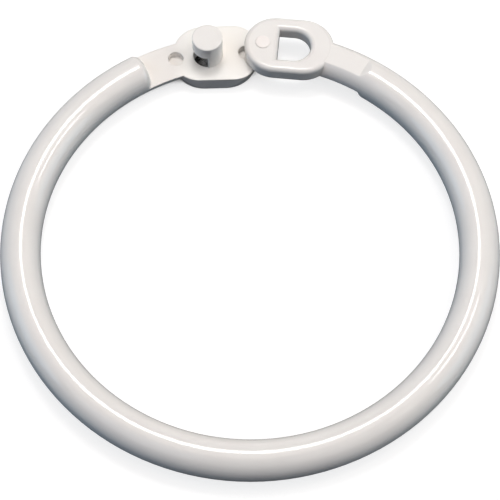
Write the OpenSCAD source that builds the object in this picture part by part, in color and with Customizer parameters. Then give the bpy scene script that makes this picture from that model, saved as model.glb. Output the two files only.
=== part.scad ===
// Snap-lock binder ring, moulded in one piece: a round bar bent into an open ring, with two
// half-lapped flat ends. One end carries a D-shaped eye, the other a post with a hook slot.
// The ring lies flat on z = 0 with its centre over the origin, and +Y points to the clasp.

/* [Ring] */
// Diameter of the ring, measured to the middle of its bar
ring_d = 49; // [44:1:80]
// Thickness of the round bar
bar_d = 4.3; // [4.0:0.1:5.5]

/* [Laps] */
// Gap between the two flat ends where one lies over the other
lap_gap = 0.2; // [0.1:0.05:0.4]
// Rounding at the end of the half of the bar that stops
shoulder_r = 1; // [0.4:0.1:1.4]
// Length of the ramp from the bar's crown down to the flat of a neck
ramp_l = 0.8; // [0.4:0.1:1.5]
// Rounding along the upper edges of the eye plate
edge_r = 0.5; // [0.2:0.05:0.7]

/* [Eye end] */
// Thickness of the eye plate
eye_plate_t = 1.7; // [1.3:0.1:1.9]
// Distance along the bar from the split to the middle of the eye's round side
eye_at = 4.65; // [4.2:0.05:6]
// Angle between the eye plate and a line straight across the clasp
eye_tilt = 5; // [0:0.5:10]
// Width of the rim on each side of the eye
eye_rim = 1.6; // [1:0.1:2.5]
// Length of the web between the eye's flat side and the tip
eye_web = 3.8; // [3:0.1:5]
// Length of the plate behind the eye's round side
eye_back = 2.6; // [1.8:0.1:4]
// Length of the neck, from the middle of the eye's round side to the bar's lower half
eye_neck = 8.4; // [7.5:0.1:12]
// Diameter of the gate button on the web
button_d = 1.6; // [1:0.1:2]
// Height of the gate button
button_h = 0.06; // [0.04:0.01:0.3]
// Distance of the gate button from the eye's flat side
button_at = 1.75; // [1.4:0.05:2]

/* [Post end] */
// Thickness of the post plate
post_plate_t = 1.9; // [1.3:0.1:1.9]
// Width of the post plate
post_plate_w = 7; // [5.5:0.1:9]
// Length of the post plate from the post to its tip
post_front = 5.45; // [4.8:0.05:6.5]
// Length of the post plate behind the post
post_back = 3.85; // [3.5:0.05:4.5]
// Rounding of the post plate's two corners at its tip, seen from above
post_tip_r = 2.5; // [1:0.1:3]
// Rounding of its corner inside the ring, beside the neck
post_inner_r = 2.9; // [1:0.1:3]
// Rounding of its corner outside the ring, beside the neck
post_outer_r = 3.4; // [2:0.1:3.4]
// How far the post plate's underside keeps inside its straight sides
post_foot_in = 0.05; // [0.05:0.05:0.4]
// How far the walls of its round ends lean out from the underside to the top
post_lean = 0.5; // [0.3:0.05:0.8]
// Diameter of the post
post_d = 3.4; // [2.8:0.1:4]
// Height of the head above the hook slot
head_h = 1.7; // [1:0.1:2.5]
// Depth of the hook slot across the post
slot_depth = 1.8; // [1.2:0.05:2.2]
// Edge break round the top of the head
head_edge = 0.1; // [0.05:0.05:0.4]
// Distance along the bar from the split to the middle of the post
post_at = 5; // [4.6:0.05:6]
// Distance of the post inward from the middle line of its plate
post_in = 0.2; // [0:0.05:0.5]
// Angle between the post plate and a line straight across the clasp
post_tilt = 2.5; // [0:0.5:10]
// Length of the neck, from the post to the bar's upper half
post_neck = 7.4; // [6.5:0.1:11]
// Diameter of the ejector dimples
dimple_d = 1.7; // [1:0.1:2]
// Depth of the ejector dimples
dimple_depth = 0.8; // [0.3:0.1:1]
// Distance from the post to the dimple near the tip
dimple_front = 4.3; // [3:0.1:4.5]
// Distance from the post back along the neck to the other dimple
dimple_back = 3.6; // [3:0.1:4.5]
// Distance of that dimple outward from the middle line of the bar
dimple_out = 0.25; // [0:0.05:0.5]

/* [Fit] */
// Clearance of the head at each end of the eye
eye_end_clear = 0.1; // [0.05:0.05:0.5]
// Clearance of the head at each side of the eye
eye_side_clear = 0.2; // [0.1:0.05:0.6]
// Clearance of the eye plate in the hook slot
slot_clear = 0.2; // [0.05:0.05:0.6]
// Clearance of the mould's core inside the outline of the post
core_clear = 0.1; // [0.05:0.05:0.3]

/* [Hidden] */
$fn = 96;
// Overlap of cuts past the faces that they cut
over = 1;
// How far the rounding of a shoulder starts outside the bar, so that the two cross cleanly
shoulder_lip = 0.03;
// How far the flat of a neck lies below the top of its plate, so that the two cross cleanly
neck_step = 0.02;
ring_r = ring_d / 2;
bar_r = bar_d / 2;
lap_z = lap_gap / 2;
eye_r = post_d / 2 + eye_side_clear;
eye_flat = post_d + 2 * eye_end_clear - eye_r;
plate_w = 2 * (eye_r + eye_rim);
plate_r = plate_w / 2;
slot_h = eye_plate_t + slot_clear;
post_foot_r = post_plate_w / 2 - post_foot_in;
eye_shoulder = eye_at + eye_neck;
post_shoulder = post_at + post_neck;

// Angle at the ring's centre of a length along the bar
function turn(length) = length / ring_r * 180 / PI;

// A frame on the bar, this far from the split: +Y outward, +X away from the split
module on_bar(at)
    rotate([0, 0, -turn(at)])
        translate([0, ring_r, 0])
            children();

// A frame on a plate: its +X runs from the tip to the neck
module on_plate(at, tilt)
    on_bar(at)
        rotate([0, 0, turn(at) - tilt])
            children();

// Sweeps a section along the bar from one place back towards the split
module along_bar(at, length)
    rotate([0, 0, 90 - turn(at)])
        rotate_extrude(angle = turn(length))
            translate([ring_r, 0])
                children();

// Half of a section with its far upper corner rounded, for a slab or a disc
module rounded_half(half_w, height, edge)
    difference() {
        square([half_w, height]);
        translate([half_w - edge, height - edge])
            difference() {
                square(edge + over);
                circle(r = edge);
            }
    }

// Half of a section of a cut whose upper rim is rounded over
module flared_half(half_w, height, edge)
    union() {
        translate([0, -over])
            square([half_w, height + 2 * over]);
        difference() {
            translate([half_w, height - edge])
                square([edge, edge + over]);
            translate([half_w + edge, height - edge])
                circle(r = edge);
        }
    }

// Half of a section whose side leans out from its upper edge to its lower one
module leaning_half(half_w, height, lean)
    polygon([
        [0, -over],
        [half_w + lean * (height + over) / height, -over],
        [half_w - lean * over / height, height + over],
        [0, height + over]
    ]);

// Runs a half section and its mirror image along X between two places
module straight_run(from, to)
    translate([from, 0, 0])
        rotate([90, 0, 90])
            linear_extrude(height = to - from)
                union() {
                    children();
                    mirror([1, 0, 0])
                        children();
                }

// Turns a half section through the half circle that faces +X
module round_end()
    rotate([0, 0, -90])
        rotate_extrude(angle = 180)
            children();

// Slab with two round ends, its section given as a half section
module round_ended(tip, back)
    union() {
        straight_run(-tip, back)
            children();
        translate([back, 0, 0])
            round_end()
                children();
        translate([-tip, 0, 0])
            rotate([0, 0, 180])
                round_end()
                    children();
    }

// What rounding takes off a corner that points towards +X and +Y
module corner_cut(x, y, corner)
    translate([x - corner, y - corner])
        difference() {
            square(corner + over);
            circle(r = corner);
        }

// Bar end with its rim rounded, along +Z
module rounded_bar_end(length)
    rotate_extrude()
        rounded_half(bar_r + shoulder_lip, length, shoulder_r);

// What a lap takes off the bar: the lower half up to the shoulder, and the crown down to its flat
module lap_cut(plate_at, shoulder, flat_z)
    union() {
        difference() {
            along_bar(shoulder + shoulder_r, shoulder + shoulder_r - plate_at + over)
                translate([-bar_d, -bar_d])
                    square([2 * bar_d, bar_d + lap_z]);
            on_bar(shoulder)
                translate([shoulder_r + over, 0, 0])
                    rotate([0, -90, 0])
                        rounded_bar_end(shoulder_r + over);
        }
        on_bar(shoulder)
            rotate([90, 0, 0])
                linear_extrude(height = 4 * bar_d, center = true)
                    polygon([
                        [plate_at - shoulder - over, flat_z],
                        [0, flat_z],
                        [ramp_l, bar_r],
                        [ramp_l + over, bar_r + over],
                        [plate_at - shoulder - over, bar_r + over]
                    ]);
    }

// The bar, with half of it running on to each plate
module bar()
    difference() {
        rotate([0, 0, 90 + turn(post_at)])
            rotate_extrude(angle = 360 - turn(post_at + eye_at))
                translate([ring_r, 0])
                    circle(d = bar_d);
        lap_cut(eye_at, eye_shoulder, lap_z + eye_plate_t - neck_step);
        rotate([0, 180, 0])
            lap_cut(post_at, post_shoulder, lap_z + post_plate_t - neck_step);
    }

// D-shaped eye with its upper rim rounded over
module eye_cut()
    intersection() {
        union() {
            straight_run(-eye_flat - over, 0)
                flared_half(eye_r, eye_plate_t, edge_r);
            round_end()
                flared_half(eye_r, eye_plate_t, edge_r);
        }
        translate([eye_r + over, 0, 0])
            rotate([90, 0, 0])
                linear_extrude(height = 2 * plate_w, center = true)
                    mirror([1, 0, 0])
                        flared_half(eye_flat + eye_r + over, eye_plate_t, edge_r);
    }

// Solid of the upper lap: plate and gate button
module eye_plate()
    on_plate(eye_at, eye_tilt)
        translate([0, 0, lap_z]) {
            round_ended(eye_flat + eye_web - plate_r, eye_r + eye_back - plate_r)
                rounded_half(plate_r, eye_plate_t, edge_r);
            translate([-eye_flat - button_at, 0, eye_plate_t / 2])
                cylinder(d = button_d, h = eye_plate_t / 2 + button_h);
        }

// Post with a hook slot on the side away from the plate's tip, standing on z = 0 towards -Z
module post()
    mirror([0, 0, 1])
        difference() {
            translate([0, 0, -post_plate_t / 2])
                rotate_extrude()
                    rounded_half(post_d / 2, post_plate_t / 2 + slot_h + head_h, head_edge);
            translate([post_d / 2 - slot_depth, -post_d, 0])
                cube([post_d, 2 * post_d, slot_h]);
        }

// Slab of the lower lap, whose corners lean in towards the rounder underside
module post_pad()
    intersection() {
        linear_extrude(height = post_plate_t)
            difference() {
                translate([-post_front, -post_plate_w / 2])
                    square([post_front + post_back, post_plate_w]);
                corner_cut(post_back, post_plate_w / 2, post_outer_r);
                mirror([0, 1, 0])
                    corner_cut(post_back, post_plate_w / 2, post_inner_r);
                mirror([1, 0, 0]) {
                    corner_cut(post_front, post_plate_w / 2, post_tip_r);
                    mirror([0, 1, 0])
                        corner_cut(post_front, post_plate_w / 2, post_tip_r);
                }
            }
        round_ended(post_front - post_foot_r, post_back - post_foot_r)
            leaning_half(post_foot_r, post_plate_t, post_lean);
    }

// Solid of the lower lap, drawn turned over: plate and post
module post_plate()
    on_plate(post_at, post_tilt)
        translate([0, 0, lap_z]) {
            post_pad();
            translate([0, -post_in, 0])
                post();
        }

// Opening through the lower lap, where the core that shapes the hook slot leaves the mould
module core_opening()
    on_plate(post_at, post_tilt)
        translate([0, -post_in, lap_z - over])
            linear_extrude(height = post_plate_t + 2 * over)
                intersection() {
                    circle(d = post_d - 2 * core_clear);
                    translate([post_d / 2 - slot_depth + core_clear, -post_d])
                        square(2 * post_d);
                }

// Ejector dimples of the lower lap, drawn turned over
module dimples() {
    on_plate(post_at, post_tilt)
        translate([-dimple_front, 0, lap_z - over])
            cylinder(d = dimple_d, h = over + dimple_depth);
    on_bar(post_at + dimple_back)
        translate([0, dimple_out, lap_z - over])
            cylinder(d = dimple_d, h = over + dimple_depth);
}

module binder_ring()
    color("whitesmoke")
        translate([0, 0, bar_r])
            difference() {
                union() {
                    bar();
                    eye_plate();
                    rotate([0, 180, 0])
                        post_plate();
                }
                on_plate(eye_at, eye_tilt)
                    translate([0, 0, lap_z])
                        eye_cut();
                rotate([0, 180, 0]) {
                    dimples();
                    core_opening();
                }
            }

binder_ring();
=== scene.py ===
import math

import bpy
from mathutils import Matrix, Vector

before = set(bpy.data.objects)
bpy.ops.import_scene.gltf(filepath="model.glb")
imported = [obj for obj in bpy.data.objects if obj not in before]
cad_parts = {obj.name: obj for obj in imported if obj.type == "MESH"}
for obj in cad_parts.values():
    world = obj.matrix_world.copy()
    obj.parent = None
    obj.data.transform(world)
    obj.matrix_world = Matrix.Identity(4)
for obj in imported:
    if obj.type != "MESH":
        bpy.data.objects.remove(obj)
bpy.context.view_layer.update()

scene = bpy.context.scene
scene.view_settings.view_transform = "Standard"

# Lengths are in metres. The ring lies on the floor around the origin, with its clasp at the back (+Y).

# ---------------------------------------------------------------- places on the ring
# A pair of numbers is where a soft step starts and ends.
BAR_R = 0.00215                            # the bar's radius, and so the height of its middle
CLASP_Y = (0.0185, 0.0200)                 # the clasp's flats lie behind this
PLATE_X = (-0.0092, -0.0072)               # the post's plate lies to the right of this
PLATE_Z = (0.0030, 0.0034)                 # it lies below this, and the post's head and the eye above
LEVEL = (0.998, 0.9998)                    # how upright the normal of a level face is
BUTTON = (0.001186, 0.024361, 0.00401)     # the middle of the gate button's face
BUTTON_EDGE = (0.00077, 0.00083)           # the distance from there to its edge

# ---------------------------------------------------------------- camera
PHOTO_PIXELS = 500
FOCAL_PIXELS = 2105.3
SHIFT_X_PIXELS = -0.1
SHIFT_Y_PIXELS = -5.0
CAMERA_ELEVATION = math.radians(63.4825)
CAMERA_ROLL = math.radians(0.5651)
CAMERA_DISTANCE = 0.22495
SENSOR_MM = 36
CLIP_START = 0.01
CLIP_END = 20


def make_camera():
    """The photograph's view: from the front, down onto the ring, and rolled a little."""
    back = Vector((0, -math.cos(CAMERA_ELEVATION), math.sin(CAMERA_ELEVATION)))
    level_right = Vector((1, 0, 0))
    level_up = level_right.cross(-back)
    right = level_right * math.cos(CAMERA_ROLL) + level_up * math.sin(CAMERA_ROLL)
    up = level_up * math.cos(CAMERA_ROLL) - level_right * math.sin(CAMERA_ROLL)
    place = Vector((0, 0, BAR_R)) + back * CAMERA_DISTANCE
    data = bpy.data.cameras.new("camera")
    data.sensor_width = SENSOR_MM
    data.lens = FOCAL_PIXELS / PHOTO_PIXELS * SENSOR_MM
    data.shift_x = SHIFT_X_PIXELS / PHOTO_PIXELS
    data.shift_y = SHIFT_Y_PIXELS / PHOTO_PIXELS
    data.clip_start = CLIP_START
    data.clip_end = CLIP_END
    camera = bpy.data.objects.new("camera", data)
    scene.collection.objects.link(camera)
    camera.matrix_world = Matrix.Translation(place) @ Matrix((right, up, back)).transposed().to_4x4()
    scene.camera = camera


# ---------------------------------------------------------------- shader nodes
COLOUR_MIX_A = 6                           # the sockets of a Mix node that mixes colours
COLOUR_MIX_B = 7
COLOUR_MIX_OUT = 2


def empty_tree(owner):
    """The node tree of a new material or world, with nothing in it."""
    owner.use_nodes = True
    owner.node_tree.nodes.clear()
    return owner.node_tree


def feed(tree, socket, source):
    """Link a socket to another node's output, or give it a plain number."""
    if isinstance(source, bpy.types.NodeSocket):
        tree.links.new(source, socket)
    else:
        socket.default_value = source


def math_node(tree, operation, first, second=None):
    node = tree.nodes.new("ShaderNodeMath")
    node.operation = operation
    feed(tree, node.inputs[0], first)
    if second is not None:
        feed(tree, node.inputs[1], second)
    return node.outputs[0]


def product(tree, first, second):
    return math_node(tree, "MULTIPLY", first, second)


def larger(tree, first, second):
    return math_node(tree, "MAXIMUM", first, second)


def soft_step(tree, source, start_end, values=(0, 1)):
    """A smooth step between two values, made while the source goes from start to end."""
    node = tree.nodes.new("ShaderNodeMapRange")
    node.interpolation_type = "SMOOTHSTEP"
    tree.links.new(source, node.inputs["Value"])
    node.inputs["From Min"].default_value = start_end[0]
    node.inputs["From Max"].default_value = start_end[1]
    node.inputs["To Min"].default_value = values[0]
    node.inputs["To Max"].default_value = values[1]
    return node.outputs["Result"]


def noise(tree, place, scale, detail):
    """Noise through the solid, with about scale lumps to the metre."""
    node = tree.nodes.new("ShaderNodeTexNoise")
    tree.links.new(place, node.inputs["Vector"])
    node.inputs["Scale"].default_value = scale
    node.inputs["Detail"].default_value = detail
    return node.outputs["Fac"]


def axes(tree, vector):
    """The X, Y and Z of a vector."""
    node = tree.nodes.new("ShaderNodeSeparateXYZ")
    tree.links.new(vector, node.inputs[0])
    return node.outputs


def distance_to(tree, place, point):
    node = tree.nodes.new("ShaderNodeVectorMath")
    node.operation = "DISTANCE"
    tree.links.new(place, node.inputs[0])
    node.inputs[1].default_value = point
    return node.outputs["Value"]


def colour_over(tree, mask, below, colour):
    """A plain colour laid over another one where the mask is 1."""
    node = tree.nodes.new("ShaderNodeMix")
    node.data_type = "RGBA"
    tree.links.new(mask, node.inputs["Factor"])
    tree.links.new(below, node.inputs[COLOUR_MIX_A])
    node.inputs[COLOUR_MIX_B].default_value = colour
    return node.outputs[COLOUR_MIX_OUT]


def mix_shaders(tree, mask, first, second):
    """The first shader where the mask is 0, and the second where it is 1."""
    node = tree.nodes.new("ShaderNodeMixShader")
    tree.links.new(mask, node.inputs[0])
    tree.links.new(first, node.inputs[1])
    tree.links.new(second, node.inputs[2])
    return node.outputs[0]


# ---------------------------------------------------------------- the ring's plastic
PLASTIC_IOR = 1.49
CLOUD_SCALE = 260
CLOUD_DETAIL = 3
CLOUD_STOPS = (0.3, 0.7)                   # the noise values of the two shades
CLOUD_SHADES = ((0.838, 0.811, 0.785, 1), (0.863, 0.841, 0.813, 1))
# Painted light: the post's plate is painted paler where extra light falls on it.
PLATE_PAINTED_LIGHT = (0.92, 0.90, 0.86, 1)
BUTTON_SHADE = (0.91, 0.86, 0.83, 1)
MARK_SCALE = 700
MARK_DETAIL = 4
MARK_STOPS = (0.35, 0.75)
BAR_ROUGHNESS = (0.07, 0.12)
ADDED_ROUGHNESS = (0.42, 0.24)             # of the satin flats, and of the smoother ones among them
GRAIN_SCALE = 9000
GRAIN_DETAIL = 2
GRAIN_DEPTH = 0.000004
WAVE_SCALE = 320
WAVE_DETAIL = 1
WAVE_DEPTH = 0.000006
EDGE_RADIUS = 0.00022
EDGE_SAMPLES = 6


def clasp_masks(tree, place):
    """Masks of the clasp's level flats, of the post's plate among them, and of the gate button."""
    x, y, z = axes(tree, place)
    true_normal = tree.nodes.new("ShaderNodeNewGeometry").outputs["True Normal"]
    upright = math_node(tree, "ABSOLUTE", axes(tree, true_normal)["Z"])
    flat = product(tree, soft_step(tree, y, CLASP_Y), soft_step(tree, upright, LEVEL))
    low = soft_step(tree, z, PLATE_Z, (1, 0))
    plate = product(tree, flat, product(tree, low, soft_step(tree, x, PLATE_X)))
    button = soft_step(tree, distance_to(tree, place, BUTTON), BUTTON_EDGE, (1, 0))
    return flat, plate, button


def plastic_colour(tree, place, plate, button):
    """White with melt clouds, very slight differences of shade. The button is paler, and the plate is
    painted paler as painted light, for the extra light that falls on it.
    """
    clouds = tree.nodes.new("ShaderNodeValToRGB")
    for element, stop, shade in zip(clouds.color_ramp.elements, CLOUD_STOPS, CLOUD_SHADES):
        element.position = stop
        element.color = shade
    tree.links.new(noise(tree, place, CLOUD_SCALE, CLOUD_DETAIL), clouds.inputs["Fac"])
    # painted light: a paler colour over the post's plate
    with_plate_painted_light = colour_over(tree, plate, clouds.outputs["Color"], PLATE_PAINTED_LIGHT)
    return colour_over(tree, button, with_plate_painted_light, BUTTON_SHADE)


def plastic_roughness(tree, place, flat, smooth):
    """Handling marks vary the polish of the bar, and the flats are satin."""
    marks = noise(tree, place, MARK_SCALE, MARK_DETAIL)
    polish = soft_step(tree, marks, MARK_STOPS, BAR_ROUGHNESS)
    satin = product(tree, flat, soft_step(tree, smooth, (0, 1), ADDED_ROUGHNESS))
    return math_node(tree, "ADD", polish, satin)


def plastic_relief(tree, place, flat):
    """Spark-eroded grain on the flats and faint waviness all over, with the edges shaded as if rounded."""
    grain = product(tree, noise(tree, place, GRAIN_SCALE, GRAIN_DETAIL), flat)
    wave = noise(tree, place, WAVE_SCALE, WAVE_DETAIL)
    height = math_node(tree, "ADD", product(tree, grain, GRAIN_DEPTH), product(tree, wave, WAVE_DEPTH))
    soft_edge = tree.nodes.new("ShaderNodeBevel")
    soft_edge.samples = EDGE_SAMPLES
    soft_edge.inputs["Radius"].default_value = EDGE_RADIUS
    bump = tree.nodes.new("ShaderNodeBump")
    bump.inputs["Strength"].default_value = 1
    bump.inputs["Distance"].default_value = 1
    tree.links.new(height, bump.inputs["Height"])
    tree.links.new(soft_edge.outputs["Normal"], bump.inputs["Normal"])
    return bump.outputs["Normal"]


def plastic():
    """White moulded plastic: polished on the bar, satin on the flats of the clasp."""
    material = bpy.data.materials.new("moulded_plastic")
    tree = empty_tree(material)
    place = tree.nodes.new("ShaderNodeTexCoord").outputs["Object"]
    flat, plate, button = clasp_masks(tree, place)
    smooth = larger(tree, plate, button)
    shader = tree.nodes.new("ShaderNodeBsdfPrincipled")
    shader.inputs["IOR"].default_value = PLASTIC_IOR
    tree.links.new(plastic_colour(tree, place, plate, button), shader.inputs["Base Color"])
    tree.links.new(plastic_roughness(tree, place, flat, smooth), shader.inputs["Roughness"])
    tree.links.new(plastic_relief(tree, place, flat), shader.inputs["Normal"])
    out = tree.nodes.new("ShaderNodeOutputMaterial")
    tree.links.new(shader.outputs["BSDF"], out.inputs["Surface"])
    return material


# ---------------------------------------------------------------- floor
FLOOR_HALF = 1.5
FLOOR_DROP = 0.00001                       # keeps it clear of the ring's lowest faces
OPENNESS_SAMPLES = 16
SEEN_REACH = 0.006                         # painted shade: the camera sees it dark only inside a narrow opening
SEEN_OPENNESS = (0.12, 0.30)
SEEN_PAINTED_SHADE = (0.0, 1.0)
MIRRORED_REACH = 0.04                      # painted shade: the plastic mirrors it dark all along the ring
MIRRORED_OPENNESS = (0.85, 1.0)
MIRRORED_PAINTED_SHADE = (0.1, 1.0)
PALE_PAINT = 0.35                          # takes the lamps' light, and with it the ring's shadow
PALE_GLOW = 0.77                           # lifts the lit paint to white
DIM_PAINT = (0.05, 0.07, 0.10, 1)


def shown_ray(tree):
    """1 for camera, glossy and transmission rays, which see the pale background."""
    path = tree.nodes.new("ShaderNodeLightPath")
    camera_or_glossy = larger(tree, path.outputs["Is Camera Ray"], path.outputs["Is Glossy Ray"])
    return larger(tree, camera_or_glossy, path.outputs["Is Transmission Ray"])


def openness(tree, reach, start_end, values):
    """A painted shade by how open the floor is within a reach: darkest in a hole or close by the ring."""
    node = tree.nodes.new("ShaderNodeAmbientOcclusion")
    node.samples = OPENNESS_SAMPLES
    node.inputs["Distance"].default_value = reach
    return soft_step(tree, node.outputs["AO"], start_end, values)


def pale_floor(tree):
    """White paint where it is open, with the ring's shadow on it, and with painted shade where it is
    closed in.
    """
    mix = tree.nodes.new("ShaderNodeMix")
    path = tree.nodes.new("ShaderNodeLightPath")
    tree.links.new(path.outputs["Is Camera Ray"], mix.inputs["Factor"])
    # Painted shade, darker where the floor is closed in: one grey for what the plastic mirrors, and one
    # for what the camera sees.
    tree.links.new(openness(tree, MIRRORED_REACH, MIRRORED_OPENNESS, MIRRORED_PAINTED_SHADE), mix.inputs["A"])
    tree.links.new(openness(tree, SEEN_REACH, SEEN_OPENNESS, SEEN_PAINTED_SHADE), mix.inputs["B"])
    painted_shade = mix.outputs["Result"]
    paint_grey = product(tree, painted_shade, PALE_PAINT)
    paint_colour = tree.nodes.new("ShaderNodeCombineColor")
    for channel in ("Red", "Green", "Blue"):
        tree.links.new(paint_grey, paint_colour.inputs[channel])
    paint = tree.nodes.new("ShaderNodeBsdfDiffuse")
    tree.links.new(paint_colour.outputs[0], paint.inputs["Color"])
    glow = tree.nodes.new("ShaderNodeEmission")
    tree.links.new(product(tree, painted_shade, PALE_GLOW), glow.inputs["Strength"])
    both = tree.nodes.new("ShaderNodeAddShader")
    tree.links.new(paint.outputs[0], both.inputs[0])
    tree.links.new(glow.outputs[0], both.inputs[1])
    return both.outputs[0]


def floor_material():
    """Pale where it is seen, and dim in the light that it bounces onto the ring."""
    material = bpy.data.materials.new("floor_paint")
    tree = empty_tree(material)
    dim = tree.nodes.new("ShaderNodeBsdfDiffuse")
    dim.inputs["Color"].default_value = DIM_PAINT
    surface = mix_shaders(tree, shown_ray(tree), dim.outputs[0], pale_floor(tree))
    out = tree.nodes.new("ShaderNodeOutputMaterial")
    tree.links.new(surface, out.inputs["Surface"])
    return material


def make_floor():
    side = FLOOR_HALF
    corners = [(-side, -side, 0), (side, -side, 0), (side, side, 0), (-side, side, 0)]
    mesh = bpy.data.meshes.new("floor")
    mesh.from_pydata(corners, [], [(0, 1, 2, 3)])
    obj = bpy.data.objects.new("floor", mesh)
    scene.collection.objects.link(obj)
    obj.location = (0, 0, -FLOOR_DROP)
    obj.data.materials.append(floor_material())
    return obj


# ---------------------------------------------------------------- light
WHITE = (1.0, 1.0, 1.0)
WARM = (1.0, 0.86, 0.76)
PLAIN = (1.0, 0.93, 0.87)
COOL = (0.66, 0.77, 1.0)
PALE_SKY = (0.50, 0.79, 1.0)
SKY = (0.36, 0.71, 1.0)
FILL_COLOUR = (0.7, 0.85, 1.0, 1)
FILL_STRENGTH = 0.012
LAMP_DISTANCE = 1.0

# Large soft lamps: name, azimuth (0 is in front, 90 to the right), elevation, size, watts and colour.
SOFT_LAMPS = (
    ("overhead", 180, 80, 0.8, 2.42, WARM),
    ("right_front", 45, 48, 0.7, 0.92, PLAIN),
    ("right_high", 90, 48, 0.7, 1.32, WARM),
    ("right_low", 90, 20, 0.7, 1.75, PALE_SKY),
    ("left_front", 315, 48, 0.7, 0.80, COOL),
    ("left_high", 270, 48, 0.7, 0.76, WARM),
    ("left_low", 270, 20, 0.7, 1.75, SKY),
    ("back_right", 135, 48, 0.7, 0.62, PLAIN),
    ("back_left", 225, 48, 0.7, 0.44, PLAIN),
    ("back", 180, 20, 0.7, 0.50, PLAIN),
)

# Small lamps, mirrored as the bright lines along the bar: name, place, size and watts.
# The two on the right stand side by side, and together make the second, shorter line.
WINDOWS = (
    ("window", (-0.004, 0.122, 0.32), 0.09, 0.31),
    ("window_right_back", (0.163, 0.089, 0.292), 0.042, 0.058),
    ("window_right_front", (0.147, 0.055, 0.308), 0.042, 0.058),
)


def make_lamp(name, place, size, power, colour):
    """A round lamp that faces the ring."""
    data = bpy.data.lights.new(name, "AREA")
    data.shape = "DISK"
    data.size = size
    data.energy = power
    data.color = colour
    lamp = bpy.data.objects.new(name, data)
    scene.collection.objects.link(lamp)
    lamp.location = place
    lamp.rotation_euler = Vector(place).to_track_quat("Z", "Y").to_euler()


def around(azimuth, elevation):
    """The place of a soft lamp by its bearing from the ring, in degrees."""
    turn = math.radians(azimuth)
    rise = math.radians(elevation)
    direction = Vector((math.sin(turn) * math.cos(rise), -math.cos(turn) * math.cos(rise), math.sin(rise)))
    return direction * LAMP_DISTANCE


def make_lamps():
    for name, azimuth, elevation, size, power, colour in SOFT_LAMPS:
        make_lamp(name, around(azimuth, elevation), size, power, colour)
    for name, place, size, power in WINDOWS:
        make_lamp(name, place, size, power, WHITE)


def make_world():
    """White where it is seen, and a dim blue fill where it lights the ring."""
    world = bpy.data.worlds.new("studio")
    scene.world = world
    tree = empty_tree(world)
    fill = tree.nodes.new("ShaderNodeBackground")
    fill.inputs["Color"].default_value = FILL_COLOUR
    fill.inputs["Strength"].default_value = FILL_STRENGTH
    white = tree.nodes.new("ShaderNodeBackground")
    white.inputs["Color"].default_value = (*WHITE, 1)
    surface = mix_shaders(tree, shown_ray(tree), fill.outputs[0], white.outputs[0])
    out = tree.nodes.new("ShaderNodeOutputWorld")
    tree.links.new(surface, out.inputs["Surface"])


# ---------------------------------------------------------------- the scene
make_camera()
make_world()
make_lamps()

floor = make_floor()

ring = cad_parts["binder_ring"]
ring.data.materials.clear()
ring.data.materials.append(plastic())
